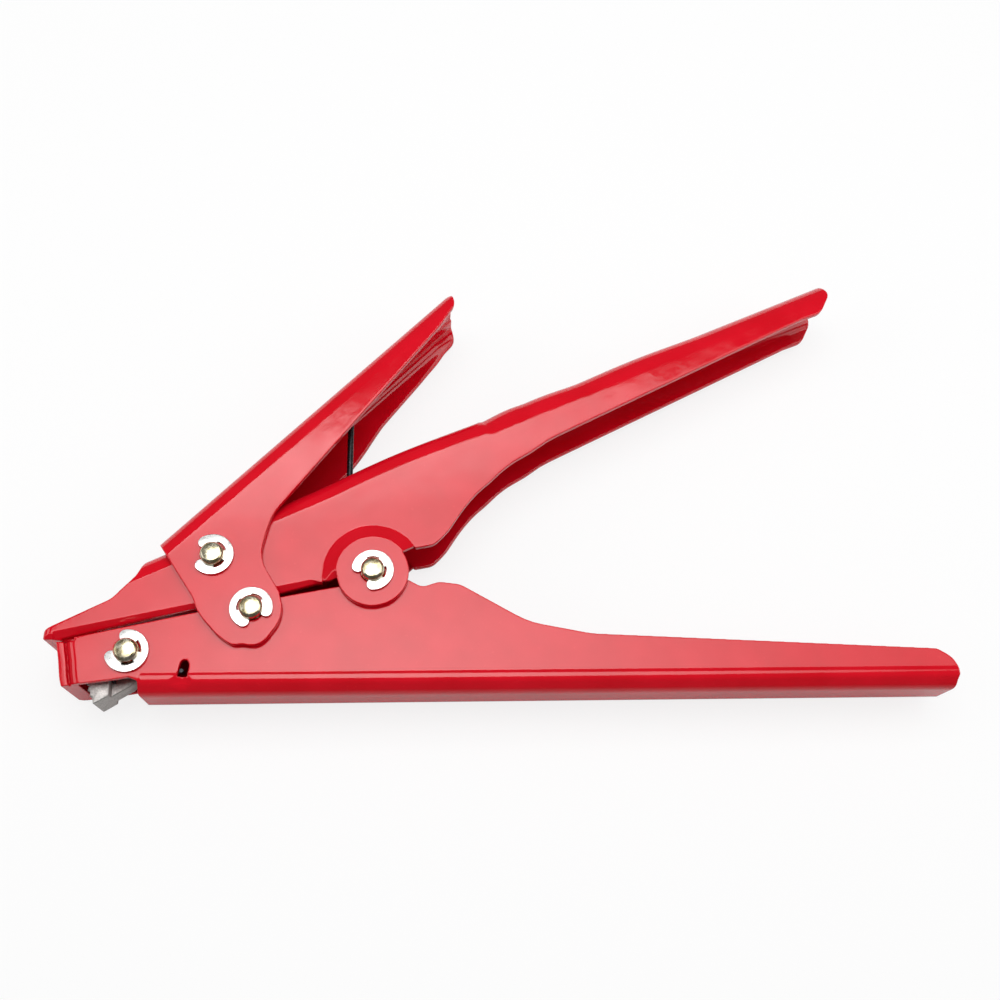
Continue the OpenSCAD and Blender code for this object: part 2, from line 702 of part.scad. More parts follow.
module main_sleeve() {
    half = frame_in - pin_play;
    color(zinc) translate([0, 0, mid_z - half]) difference() {
        cylinder(h = 2 * half, r = sleeve_r);
        translate([0, 0, -over]) cylinder(h = 2 * (half + over), r = hole_r);
    }
}

// Springs: a tube of six sides swept along points, with its rings carried along the path
ring_sides = 6;
rings_per_turn = 8;
function cross_unit(a, b) = unit(cross(a, b));
function path_way(p, i) = unit(p[min(i + 1, len(p) - 1)] - p[max(i - 1, 0)]);
function carried(p, i, side) =
    i == len(p) ? [] :
    let (w = path_way(p, i), s = unit(side - (side * w) * w))
    concat([s], carried(p, i + 1, s));
function tube_points(p, sides, r) = [for (i = [0 : len(p) - 1], k = [0 : ring_sides - 1])
    let (w = path_way(p, i), s = sides[i], t = cross(w, s), a = full_turn * k / ring_sides)
    p[i] + r * (s * cos(a) + t * sin(a))];
function tube_faces(count) = concat(
    [for (i = [0 : count - 2], k = [0 : ring_sides - 1])
        let (a = i * ring_sides + k, b = i * ring_sides + (k + 1) % ring_sides)
        each [[a, b, b + ring_sides], [a, b + ring_sides, a + ring_sides]]],
    [for (k = [1 : ring_sides - 2]) [0, k + 1, k]],
    [for (k = [1 : ring_sides - 2]) let (e = (count - 1) * ring_sides) [e, e + k, e + k + 1]]
);
module tube(p, d) {
    sides = carried(p, 0, cross_unit(path_way(p, 0), [0, 0, 1]));
    polyhedron(points = tube_points(p, sides, d / 2), faces = tube_faces(len(p)));
}
function least_gap(p, d) = min([for (i = [0 : len(p) - 1], j = [i + rings_per_turn / 2 : 1 : len(p) - 1])
    norm(p[i] - p[j])]) - d;
function coil(r, from, turn, z_from, z_to) =
    let (n = ceil(abs(turn) / full_turn * rings_per_turn))
    [for (i = [0 : n]) let (a = from + turn * i / n, z = z_from + (z_to - z_from) * i / n)
        [r * cos(a), r * sin(a), z]];

// Main spring: an upper leg to the lever, the coil, and a lower leg to the spine of the frame
main_exit = 250;
main_turn = full_turn * main_turns + main_exit - 180;
main_leg_z = main_pitch * main_turn / 720;
main_foot_y = sheet_t + main_wire_d - spine_drop;
function main_path() =
    let (
        lever_under = lever_at + turned([0, lever_rise - sheet_t], lever_angle),
        tip_y = lever_under[1] + (-main_coil_r - main_wire_d - lever_under[0]) * tan(lever_angle),
        last = main_coil_r * [cos(main_exit), sin(main_exit)],
        way = [-sin(main_exit), cos(main_exit)],
        foot = last + way * (main_foot_y - last[1]) / way[1]
    )
    concat(
        [[-main_coil_r, tip_y, main_leg_z], [-main_coil_r, main_wire_d, main_leg_z]],
        coil(main_coil_r, 180, main_turn, main_leg_z, -main_leg_z),
        [[foot[0], foot[1], -main_leg_z]]
    );
module main_spring() {
    turns = coil(main_coil_r, 180, main_turn, main_leg_z, -main_leg_z);
    echo(main_spring_gap = least_gap(turns, main_wire_d));
    color(spring_steel) translate([0, 0, mid_z]) tube(main_path(), main_wire_d);
}

// Gripper spring: a leg on the jaw, the coil, and an end that hooks into the slot of the frame
grip_leg_share = 0.55;
grip_z = hub_half + grip_wire_d / 2 + slot_clear;
function grip_path() =
    let (
        to = anchor_foot - grip_at,
        out = atan2(to[1], to[0]) + acos(grip_coil_r / norm(to)),
        turn = out - full_turn - 180,
        top_z = grip_z - grip_pitch * turn / full_turn,
        bend = grip_wire_d
    )
    concat(
        [[-grip_coil_r, -grip_leg_share * jaw_l, grip_z], [-grip_coil_r, -grip_wire_d, grip_z]],
        coil(grip_coil_r, 180, turn, grip_z, top_z),
        [[to[0], to[1], top_z] - bend * concat(unit(to), [0]), [to[0], to[1], top_z + bend]],
        [[to[0], to[1], frame_half]]
    );
module gripper_spring() {
    echo(gripper_spring_gap = grip_pitch - grip_wire_d);
    color(spring_steel) translate([grip_at[0], grip_at[1], mid_z]) tube(grip_path(), grip_wire_d);
}

lower_frame();
upper_body();
cut_lever();
main_pin();
main_pin_clip();
main_sleeve();
main_spring();
lever_pin();
lever_pin_clip();
blade_pin();
blade_pin_clip();
cutter_blade();
gripper_jaw();
gripper_pin();
gripper_pin_clip();
gripper_spring();
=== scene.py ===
import math
from collections import namedtuple

import bmesh
import bpy
import numpy as np
from mathutils import Matrix, Vector


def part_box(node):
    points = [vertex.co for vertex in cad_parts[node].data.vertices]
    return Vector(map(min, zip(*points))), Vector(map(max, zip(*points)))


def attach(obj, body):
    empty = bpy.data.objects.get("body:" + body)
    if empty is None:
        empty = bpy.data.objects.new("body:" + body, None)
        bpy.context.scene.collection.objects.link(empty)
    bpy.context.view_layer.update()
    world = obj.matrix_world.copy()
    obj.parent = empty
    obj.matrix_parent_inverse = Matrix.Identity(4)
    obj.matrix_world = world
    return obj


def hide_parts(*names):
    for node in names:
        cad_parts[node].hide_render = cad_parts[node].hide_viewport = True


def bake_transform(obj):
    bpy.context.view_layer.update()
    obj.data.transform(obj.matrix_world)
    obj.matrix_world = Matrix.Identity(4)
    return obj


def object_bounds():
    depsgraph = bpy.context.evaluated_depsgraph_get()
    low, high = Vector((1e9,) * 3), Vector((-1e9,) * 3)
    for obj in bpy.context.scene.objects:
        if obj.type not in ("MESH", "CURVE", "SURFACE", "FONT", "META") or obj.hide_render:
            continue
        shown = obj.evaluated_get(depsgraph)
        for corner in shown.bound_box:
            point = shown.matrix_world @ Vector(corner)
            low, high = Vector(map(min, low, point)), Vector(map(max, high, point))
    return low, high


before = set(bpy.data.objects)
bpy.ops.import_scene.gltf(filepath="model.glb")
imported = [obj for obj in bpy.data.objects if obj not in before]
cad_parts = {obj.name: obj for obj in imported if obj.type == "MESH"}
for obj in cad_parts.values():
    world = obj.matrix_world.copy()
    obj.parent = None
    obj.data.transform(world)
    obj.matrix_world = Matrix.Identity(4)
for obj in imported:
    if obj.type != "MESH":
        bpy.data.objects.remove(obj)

cad_low, cad_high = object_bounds()
scene = bpy.context.scene
MM = 0.001
FULL_TURN = 360

# Camera, as the photograph shows the tool

CAMERA_AT = Vector((7.273, -74.815, 249.05)) * MM
CAMERA_RIGHT = Vector((0.99650, -0.02682, 0.07919))
CAMERA_UP = Vector((-0.00448, 0.92864, 0.37094))
LENS_MM = 39.96
SENSOR_MM = 36.0
CLIP_START = 0.005
CLIP_END = 20


def make_camera():
    right = CAMERA_RIGHT.normalized()
    back = right.cross(CAMERA_UP).normalized()
    up = back.cross(right)
    data = bpy.data.cameras.new("camera")
    data.lens = LENS_MM
    data.sensor_width = SENSOR_MM
    data.clip_start = CLIP_START
    data.clip_end = CLIP_END
    camera = bpy.data.objects.new("camera", data)
    scene.collection.objects.link(camera)
    camera.matrix_world = Matrix((right, up, back)).transposed().to_4x4()
    camera.location = CAMERA_AT
    scene.camera = camera


make_camera()

# Node trees

WHITE = (1, 1, 1, 1)

# The sockets of a mix of two colours
MIX_SHARE, MIX_FROM, MIX_TO = 0, 6, 7
MIXED = 2


def linear(r, g, b):
    """sRGB values from 0 to 255 as a linear colour."""
    def one(v):
        v /= 255
        return v / 12.92 if v <= 0.04045 else ((v + 0.055) / 1.055) ** 2.4
    return (one(r), one(g), one(b), 1.0)


class Nodes:
    """The node tree of a material, a world or a light, with short calls for the nodes used here."""

    def __init__(self, owner):
        owner.use_nodes = True
        self.tree = owner.node_tree

    def add(self, kind, **settings):
        node = self.tree.nodes.new(kind)
        for key, value in settings.items():
            setattr(node, key, value)
        return node

    def link(self, source, target):
        self.tree.links.new(source, target)

    def math(self, operation, a, b):
        node = self.add("ShaderNodeMath", operation=operation)
        self.link(a, node.inputs[0])
        self.link(b, node.inputs[1])
        return node.outputs[0]

    def mapped(self, value, span, to, kind="LINEAR"):
        """A value moved from one span to another, and held at its ends."""
        node = self.add("ShaderNodeMapRange", interpolation_type=kind)
        for index, number in enumerate((*span, *to), 1):
            node.inputs[index].default_value = number
        self.link(value, node.inputs[0])
        return node.outputs[0]

    def emission(self, strength):
        node = self.add("ShaderNodeEmission")
        node.inputs["Color"].default_value = WHITE
        node.inputs["Strength"].default_value = strength
        return node.outputs[0]

    def shader_mix(self, share, first, second):
        node = self.add("ShaderNodeMixShader")
        for index, source in enumerate((share, first, second)):
            self.link(source, node.inputs[index])
        return node.outputs[0]


class Finish(Nodes):
    """The node tree of a new material."""

    def __init__(self, name):
        self.material = bpy.data.materials.new(name)
        super().__init__(self.material)
        self.tree.nodes.clear()
        self.out = self.add("ShaderNodeOutputMaterial")
        self.coords = self.add("ShaderNodeTexCoord").outputs["Object"]

    def stretched(self, scale, turn):
        node = self.add("ShaderNodeMapping")
        node.inputs["Scale"].default_value = scale
        node.inputs["Rotation"].default_value = (0, 0, math.radians(turn))
        self.link(self.coords, node.inputs["Vector"])
        return node.outputs[0]

    def noise(self, size_mm, detail, roughness=0.5, at=None):
        node = self.add("ShaderNodeTexNoise")
        node.inputs["Scale"].default_value = 1 / (size_mm * MM)
        node.inputs["Detail"].default_value = detail
        node.inputs["Roughness"].default_value = roughness
        self.link(at or self.coords, node.inputs["Vector"])
        return node.outputs["Fac"]

    def ramp(self, value, span, *colours):
        """A colour that follows a value over a span, from the first sRGB colour to the second."""
        node = self.add("ShaderNodeValToRGB")
        for element, place, colour in zip(node.color_ramp.elements, span, colours):
            element.position = place
            element.color = linear(*colour)
        self.link(value, node.inputs[0])
        return node.outputs[0]

    def tinted(self, colour, share, tint):
        node = self.add("ShaderNodeMix", data_type="RGBA")
        self.link(share, node.inputs[MIX_SHARE])
        self.link(colour, node.inputs[MIX_FROM])
        node.inputs[MIX_TO].default_value = linear(*tint)
        return node.outputs[MIXED]

    def bump(self, height, depth_mm, over=None):
        """A relief, on its own or over another one."""
        node = self.add("ShaderNodeBump")
        node.inputs["Strength"].default_value = 1.0
        node.inputs["Distance"].default_value = depth_mm * MM
        self.link(height, node.inputs["Height"])
        if over is not None:
            self.link(over, node.inputs["Normal"])
        return node.outputs[0]

    def surface(self, colour, roughness, relief, **constants):
        shader = self.add("ShaderNodeBsdfPrincipled")
        self.link(colour, shader.inputs["Base Color"])
        self.link(roughness, shader.inputs["Roughness"])
        self.link(relief, shader.inputs["Normal"])
        for key, value in constants.items():
            shader.inputs[key].default_value = value
        self.link(shader.outputs[0], self.out.inputs["Surface"])
        return self.material


# Materials

# Where most values of a noise lie
NOISE_SPAN = (0.3, 0.7)

# Marks of grinding: the scale that draws them out along X, and then a turn of the pattern
GRIND_STRETCH = (0.04, 1, 1)
GRIND_TURN = -9.7


def red_paint():
    """Glossy enamel with a fine orange peel, slightly uneven in colour and gloss."""
    n = Finish("red_paint")
    colour = n.ramp(n.noise(size_mm=9, detail=2), NOISE_SPAN, (203, 8, 27), (213, 12, 33))
    specks = n.mapped(n.noise(size_mm=0.9, detail=1), span=(0.68, 0.8), to=(0, 0.25))
    colour = n.tinted(colour, specks, (224, 36, 46))
    roughness = n.mapped(n.noise(size_mm=5, detail=3), NOISE_SPAN, to=(0.05, 0.12))
    waves = n.bump(n.noise(size_mm=7.5, detail=1), depth_mm=0.05)
    peel = n.bump(n.noise(size_mm=1.7, detail=2, roughness=0.45), depth_mm=0.008, over=waves)
    return n.surface(colour, roughness, peel, IOR=1.5)


def plated(name, dark, light, gloss, tint=None):
    """Zinc-plated steel: softly mottled, with a fine grain."""
    n = Finish(name)
    mottle = n.noise(size_mm=1.4, detail=3, roughness=0.6)
    colour = n.ramp(mottle, (0.34, 0.66), dark, light)
    if tint:
        stains = n.mapped(n.noise(size_mm=2.6, detail=2), span=(0.5, 0.72), to=(0, 0.6))
        colour = n.tinted(colour, stains, tint)
    roughness = n.mapped(n.noise(size_mm=0.7, detail=2), NOISE_SPAN, to=gloss)
    grain = n.bump(n.noise(size_mm=0.2, detail=2), depth_mm=0.004)
    return n.surface(colour, roughness, grain, Metallic=1.0)


def sandblasted():
    n = Finish("sandblasted_steel")
    mottle = n.noise(size_mm=0.35, detail=3, roughness=0.7)
    colour = n.ramp(mottle, NOISE_SPAN, (166, 163, 160), (210, 207, 203))
    grain = n.bump(n.noise(size_mm=0.22, detail=3, roughness=0.7), depth_mm=0.03)
    roughness = n.mapped(n.noise(size_mm=1.2, detail=2), NOISE_SPAN, to=(0.42, 0.6))
    return n.surface(colour, roughness, grain, Metallic=0.85)


def ground_steel():
    n = Finish("ground_steel")
    drawn_out = n.stretched(GRIND_STRETCH, GRIND_TURN)
    marks = n.noise(size_mm=0.25, detail=2, roughness=0.6, at=drawn_out)
    colour = n.ramp(marks, NOISE_SPAN, (150, 150, 152), (196, 196, 198))
    roughness = n.mapped(marks, NOISE_SPAN, to=(0.22, 0.4))
    return n.surface(colour, roughness, n.bump(marks, depth_mm=0.006), Metallic=1.0)


def black_wire():
    n = Finish("black_wire")
    colour = n.ramp(n.noise(size_mm=0.8, detail=3), (0.35, 0.7), (22, 22, 25), (44, 44, 48))
    roughness = n.mapped(n.noise(size_mm=0.6, detail=2), NOISE_SPAN, to=(0.22, 0.36))
    grain = n.bump(n.noise(size_mm=0.3, detail=2), depth_mm=0.006)
    return n.surface(colour, roughness, grain, Metallic=0.6)


PAINT = red_paint()
CLIP_ZINC = plated("clip_zinc", (222, 222, 220), (244, 244, 242), (0.24, 0.37))
PIN_ZINC = plated("pin_yellow_zinc", (208, 192, 146), (244, 238, 216), (0.18, 0.31),
                  tint=(196, 172, 110))
SLEEVE_ZINC = plated("sleeve_zinc", (190, 190, 188), (226, 226, 222), (0.24, 0.37))
CAST = sandblasted()
GROUND = ground_steel()
WIRE = black_wire()

NODE_MATERIAL = {
    "lower_frame": PAINT, "upper_body": PAINT, "cut_lever": PAINT,
    "main_pin": PIN_ZINC, "lever_pin": PIN_ZINC, "blade_pin": PIN_ZINC, "gripper_pin": PIN_ZINC,
    "main_pin_clip": CLIP_ZINC, "lever_pin_clip": CLIP_ZINC, "blade_pin_clip": CLIP_ZINC,
    "gripper_pin_clip": CLIP_ZINC, "main_sleeve": SLEEVE_ZINC,
    "cutter_blade": GROUND, "gripper_jaw": CAST,
    "main_spring": WIRE, "gripper_spring": WIRE,
}
for name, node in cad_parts.items():
    node.data.materials.clear()
    node.data.materials.append(NODE_MATERIAL[name])

# CAD nodes that stay: the radius of their edges

EDGE_MM = {
    "main_pin_clip": 0.1, "lever_pin_clip": 0.1, "blade_pin_clip": 0.1, "gripper_pin_clip": 0.1,
    "main_sleeve": 0.15, "cutter_blade": 0.1, "gripper_jaw": 0.3,
}
WELD_MM = 0.002
EDGE_STEPS = 3

# Turns between two faces, in degrees: below the first they are one face, above the second an edge
FLAT_TURN = 0.6
EDGE_TURN = 32


def round_edges(node, width_mm):
    for face in node.data.polygons:
        face.use_smooth = True
    weld = node.modifiers.new("weld", "WELD")
    weld.merge_threshold = WELD_MM * MM
    flat = node.modifiers.new("flat", "DECIMATE")
    flat.decimate_type = "DISSOLVE"
    flat.angle_limit = math.radians(FLAT_TURN)
    bevel = node.modifiers.new("edges", "BEVEL")
    bevel.limit_method = "ANGLE"
    bevel.angle_limit = math.radians(EDGE_TURN)
    bevel.width = width_mm * MM
    bevel.segments = EDGE_STEPS
    bevel.use_clamp_overlap = False
    bevel.harden_normals = True
    bevel.miter_outer = "MITER_ARC"


for name, width_mm in EDGE_MM.items():
    round_edges(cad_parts[name], width_mm)

# Painted sheets: each takes over its CAD node, with paint that rounds every edge and fills every
# inner corner, and with the small bends that pressing leaves in the sheet. The tables are in mm
# and degrees, and heights count from the mid plane

frame_low, frame_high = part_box("lower_frame")
MID_Z = (frame_low.z + frame_high.z) / 2
PAINT_VOXEL_MM = 0.16
PAINT_PASSES = 7
SMOOTHING = 0.5

# The height over which a press or a softer place starts and ends
HEIGHT_FADE = 1.0
ALL_HEIGHTS = (-99, 99)
FAR_WALL = (-12, -2)

# A press shifts the sheet in an oval with a middle, two half widths and a turn of its long side
Press = namedtuple("Press", "middle half shift turn heights", defaults=(0, ALL_HEIGHTS))
PRESSES = {
    "lower_frame": [
        # Front end of the web and its lower corner
        Press((-44.5, -27), (5.5, 6.5), (-2.3, 0)),
        Press((-43.2, -28.5), (4.5, 3), (-1.2, 0)),
        # Fold under the slot of the gripper spring
        Press((-39, -22.6), (2.6, 2.2), (0.2, 1.1)),
        # End of the handle
        Press((120.5, -27.5), (10, 6), (4.7, 0)),
        Press((128, -17.5), (5, 5), (-0.35, -0.3)),
        # Start of the lower fold, along the whole frame
        Press((40, -21.3), (300, 3.4), (0, -1.0)),
    ],
    "upper_body": [
        # Waist
        Press((24.7, 17.5), (16, 9), (-1.5, 1.45), 47),
        Press((31, 26), (8, 5), (-0.45, 0.75), 38),
        # Spine, from over the boss to the handle
        Press((6, 27), (24, 6), (-0.3, 0.8), 25),
        Press((29.8, 39.8), (6.5, 5), (-0.1, 0.45), 22),
        Press((38, 43.5), (12, 5), (-0.1, 0.5), 24),
        Press((62, 53.5), (20, 5), (-0.1, 0.5), 24),
        # Near side, before the boss
        Press((-9.6, 0.2), (4.5, 2.6), (0, -1.7), 12, (4, 9.4)),
    ],
    "cut_lever": [
        # Lobe
        Press((-31, -16), (3.4, 3.4), (0.4, 0.55)),
        Press((-23.2, -16.2), (4.6, 4.6), (0.25, -0.75)),
        Press((-35.5, -9.5), (5, 5), (-0.7, -0.1)),
        # Far wall beside the spring
        Press((-6.9, 32.4), (15, 7), (1.1, -0.8), 54, FAR_WALL),
        # Tip
        Press((18.2, 71.8), (3, 3), (-0.3, -0.75)),
        Press((17.5, 67.5), (4, 4.5), (0.7, 0.1), 0, FAR_WALL),
    ],
}

# Where a sheet is smoothed further: the middle, the radius, the height it ends at and the passes
SOFT_BENDS = {"upper_body": ((25.2, 35.9), 6, 99, 60), "cut_lever": ((15, 63), 9, -2, 80)}

# Openings cut in a sheet: the corners, the lowest and the highest height
CUTS = {
    "upper_body": [
        (((-23, -5), (-8.2, -1.1), (-7, -1.9), (-7.2, -3.7), (-23, -6.5)), 3.5, 9),
        (((-64.2, -13.8), (-37, -7.3), (-25, -4.85), (-25, -6.2), (-37, -8.6), (-64.2, -14.7)),
         5.25, 7),
    ],
}

# The die mark: a small step in both sides of the frame, along the start of its lower fold. It
# begins at MARK_FROM along X, and only points beyond FRAME_INNER from the mid plane take it
MARK_FROM = -47.6
MARK_RISE = 0.5
MARK_TOP = -21.25
MARK_FOOT = -22.15
MARK_END = -24.4
MARK_DEPTH = 0.15
FRAME_INNER = 7.1


def heights_of(spots):
    return (spots[:, 2] - MID_Z) / MM


def pressed(spots, presses):
    """Move points in the plane of the tool; each press fades out smoothly at its rim."""
    moved = spots.copy()
    heights = heights_of(spots)
    for press in presses:
        turn = math.radians(press.turn)
        c, s = math.cos(turn), math.sin(turn)
        low, high = press.heights
        away = spots[:, :2] / MM - press.middle
        along = (away[:, 0] * c + away[:, 1] * s) / press.half[0]
        across = (away[:, 1] * c - away[:, 0] * s) / press.half[1]
        share = np.clip(1 - along ** 2 - across ** 2, 0, 1) ** 2
        share *= np.clip((heights - low) / HEIGHT_FADE, 0, 1)
        share *= np.clip((high - heights) / HEIGHT_FADE, 0, 1)
        moved[:, :2] += share[:, None] * np.array(press.shift) * MM
    return moved


def smooth_step(values):
    share = np.clip(values, 0, 1)
    return share * share * (3 - 2 * share)


def marked(spots):
    """Press the die mark into both sides of the frame."""
    x, y = spots[:, 0] / MM, spots[:, 1] / MM
    side = heights_of(spots)
    depth = smooth_step((MARK_TOP - y) / (MARK_TOP - MARK_FOOT))
    depth *= smooth_step((y - MARK_END) / (MARK_FOOT - MARK_END))
    depth *= smooth_step((x - MARK_FROM) / MARK_RISE)
    depth *= np.abs(side) > FRAME_INNER
    spots[:, 2] -= np.sign(side) * depth * MARK_DEPTH * MM
    return spots


def points_of(mesh):
    spots = np.empty(len(mesh.vertices) * 3)
    mesh.vertices.foreach_get("co", spots)
    return spots.reshape(-1, 3)


def set_points(mesh, spots):
    mesh.vertices.foreach_set("co", spots.ravel())
    mesh.update()


def apply_modifiers(piece):
    graph = bpy.context.evaluated_depsgraph_get()
    mesh = bpy.data.meshes.new_from_object(piece.evaluated_get(graph))
    piece.modifiers.clear()
    piece.data = mesh


def linked(name, mesh):
    """A new object in the scene."""
    piece = bpy.data.objects.new(name, mesh)
    scene.collection.objects.link(piece)
    return piece


def prism(corners, low, high):
    """A block that cuts a sheet, from its corners and its two heights."""
    count = len(corners)
    rings = [(x * MM, y * MM, MID_Z + z * MM) for z in (low, high) for x, y in corners]
    sides = [(i, (i + 1) % count, count + (i + 1) % count, count + i) for i in range(count)]
    ends = [tuple(range(count))[::-1], tuple(range(count, 2 * count))]
    mesh = bpy.data.meshes.new("prism")
    mesh.from_pydata(rings, [], sides + ends)
    solid = bmesh.new()
    solid.from_mesh(mesh)
    bmesh.ops.recalc_face_normals(solid, faces=solid.faces)
    solid.to_mesh(mesh)
    solid.free()
    return linked("prism", mesh)


def smooth_modifier(piece, passes, group=""):
    smooth = piece.modifiers.new("smooth", "SMOOTH")
    smooth.factor = SMOOTHING
    smooth.iterations = passes
    smooth.vertex_group = group


def soften(piece, middle, radius, top, passes):
    """Smooth a sheet round one place, less and less towards the radius."""
    spots = points_of(piece.data)
    away = np.linalg.norm(spots[:, :2] / MM - middle, axis=1) / radius
    share = np.clip(1 - away ** 2, 0, 1)
    share *= np.clip((top - heights_of(spots)) / HEIGHT_FADE, 0, 1)
    group = piece.vertex_groups.new(name="bend")
    for index in np.nonzero(share)[0]:
        group.add([int(index)], float(share[index]), "REPLACE")
    smooth_modifier(piece, passes, group.name)
    apply_modifiers(piece)
    piece.vertex_groups.clear()


def painted_sheet(name):
    piece = linked(name + "_sheet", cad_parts[name].data.copy())
    blocks = [prism(*cut) for cut in CUTS.get(name, [])]
    for block in blocks:
        cut = piece.modifiers.new("cut", "BOOLEAN")
        cut.operation = "DIFFERENCE"
        cut.solver = "EXACT"
        cut.object = block
    fine = piece.modifiers.new("fine", "REMESH")
    fine.mode = "VOXEL"
    fine.voxel_size = PAINT_VOXEL_MM * MM
    fine.use_smooth_shade = True
    smooth_modifier(piece, PAINT_PASSES)
    apply_modifiers(piece)
    for block in blocks:
        bpy.data.objects.remove(block)
    if name in SOFT_BENDS:
        soften(piece, *SOFT_BENDS[name])
    spots = pressed(points_of(piece.data), PRESSES[name])
    set_points(piece.data, marked(spots) if name == "lower_frame" else spots)
    piece.data.materials.clear()
    piece.data.materials.append(PAINT)
    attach(piece, name)
    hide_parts(name)


for name in PRESSES:
    painted_sheet(name)

# Pins, turned from round bar: the head is on the far side, and the near end has a wide chamfer

PIN_SIDES = 64
PIN_BODY = {
    "main_pin": "lower_frame", "lever_pin": "cut_lever",
    "blade_pin": "cut_lever", "gripper_pin": "lower_frame",
}
SHANK_R = 2.5 * MM
GROOVE_R = 2.0 * MM
HEAD_T = 1.2 * MM
CHAMFER = 0.5 * MM
RIM = 0.12 * MM
SHARP_TURN = 50


def circle(sides):
    """Cosine and sine of the corners of a round section."""
    turns = (2 * math.pi * k / sides for k in range(sides))
    return [(math.cos(a), math.sin(a)) for a in turns]


def tube_faces(rings, sides):
    """The faces between rings of points, and the two ends."""
    faces = [
        (i * sides + k, i * sides + (k + 1) % sides,
         (i + 1) * sides + (k + 1) % sides, (i + 1) * sides + k)
        for i in range(rings - 1) for k in range(sides)
    ]
    last = (rings - 1) * sides
    return faces + [tuple(range(sides))[::-1], tuple(range(last, last + sides))]


def turned_pin(name):
    low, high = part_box(name)
    clip_low, clip_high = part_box(name + "_clip")
    x, y = (low.x + high.x) / 2, (low.y + high.y) / 2
    head_r = (high.x - low.x) / 2
    profile = (
        (head_r - 3 * RIM, low.z), (head_r - RIM, low.z + RIM), (head_r, low.z + 3 * RIM),
        (head_r, low.z + HEAD_T - RIM), (head_r - RIM, low.z + HEAD_T), (SHANK_R, low.z + HEAD_T),
        (SHANK_R, clip_low.z), (GROOVE_R, clip_low.z),
        (GROOVE_R, clip_high.z), (SHANK_R, clip_high.z),
        (SHANK_R, high.z - CHAMFER - RIM), (SHANK_R - RIM / 2, high.z - CHAMFER),
        (SHANK_R - CHAMFER, high.z - RIM / 2), (SHANK_R - CHAMFER - RIM, high.z),
    )
    points = [(x + r * c, y + r * s, z) for r, z in profile for c, s in circle(PIN_SIDES)]
    mesh = bpy.data.meshes.new(name + "_turned")
    mesh.from_pydata(points, [], tube_faces(len(profile), PIN_SIDES))
    for face in mesh.polygons:
        face.use_smooth = True
    mesh.set_sharp_from_angle(angle=math.radians(SHARP_TURN))
    mesh.materials.append(PIN_ZINC)
    piece = linked(name + "_turned", mesh)
    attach(piece, PIN_BODY[name])
    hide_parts(name)


for name in PIN_BODY:
    turned_pin(name)

# Springs, wound from round wire

WIRE_SIDES = 16
TURN_POINTS = 40
SAME_POINT = 0.001 * MM
COIL_START = 180


def wire(name, points, diameter):
    """A closed round tube along points, with its rings carried along the path."""
    path = np.array(points, float)
    ways = np.gradient(path, axis=0)
    ways /= np.linalg.norm(ways, axis=1)[:, None]
    side = np.cross(ways[0], (0, 0, 1))
    rings = []
    for point, way in zip(path, ways):
        side = side - way * (side @ way)
        side /= np.linalg.norm(side)
        other = np.cross(way, side)
        for c, s in circle(WIRE_SIDES):
            rings.append(tuple(point + diameter / 2 * (side * c + other * s)))
    mesh = bpy.data.meshes.new(name)
    mesh.from_pydata(rings, [], tube_faces(len(path), WIRE_SIDES))
    for face in mesh.polygons[:-2]:
        face.use_smooth = True
    mesh.materials.append(WIRE)
    mesh.update()
    return linked(name, mesh)


def straight(a, b, steps=10):
    a, b = np.array(a, float), np.array(b, float)
    return [a + (b - a) * i / steps for i in range(steps + 1)]


def round_way(degrees):
    """The direction at an angle in the plane of the tool."""
    return np.array((math.cos(math.radians(degrees)), math.sin(math.radians(degrees))))


def coil(centre, radius, turn, z_from, z_to):
    """Points of a coil that starts at COIL_START and rises evenly."""
    count = int(abs(turn) / FULL_TURN * TURN_POINTS)
    return [
        np.array((*(centre + radius * round_way(COIL_START + turn * i / count)),
                  z_from + (z_to - z_from) * i / count))
        for i in range(count + 1)
    ]


def joined(*runs):
    """The points of runs that follow each other, without those that repeat."""
    points = []
    for run in runs:
        for point in run:
            if not points or np.linalg.norm(point - points[-1]) > SAME_POINT:
                points.append(point)
    return points


def spring_part(piece, node):
    """Put a piece of spring in place of its CAD node, with its placement baked into its mesh."""
    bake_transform(piece)
    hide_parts(node)


# Main spring: a coil round the main pin, a foot on the frame and a long leg up to the lever

MAIN_WIRE = 1.4 * MM
MAIN_COIL = 5.7 * MM
MAIN_EXIT = 250
MAIN_TURNS = 4
LEG_STEPS = 40
main_low, main_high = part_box("main_spring")
main_turn = MAIN_EXIT + MAIN_TURNS * FULL_TURN - COIL_START
main_leg_z = (main_high.z - main_low.z - MAIN_WIRE) / 2
main_last = round_way(MAIN_EXIT) * MAIN_COIL
main_way = round_way(MAIN_EXIT + FULL_TURN / 4)
foot_y = main_low.y + MAIN_WIRE / 2 * abs(main_way[0])
main_foot = main_last + main_way * (foot_y - main_last[1]) / main_way[1]
main_top = MID_Z + main_leg_z
main_bottom = MID_Z - main_leg_z
leg_start = (-MAIN_COIL, MAIN_WIRE, main_top)
leg_end = (-MAIN_COIL, main_high.y, main_top)
main_coil = wire("main_spring_coil", joined(
    straight(leg_start, (-MAIN_COIL, 0, main_top), 4),
    coil(np.zeros(2), MAIN_COIL, main_turn, main_top, main_bottom),
    straight((*main_last, main_bottom), (*main_foot, main_bottom)),
), MAIN_WIRE)
spring_part(main_coil, "main_spring")
main_leg = wire("main_spring_leg", straight(leg_start, leg_end, LEG_STEPS), MAIN_WIRE)
spring_part(main_leg, "main_spring")

# Gripper spring: a coil round the gripper pin, from the jaw to a hook in the slot of the frame

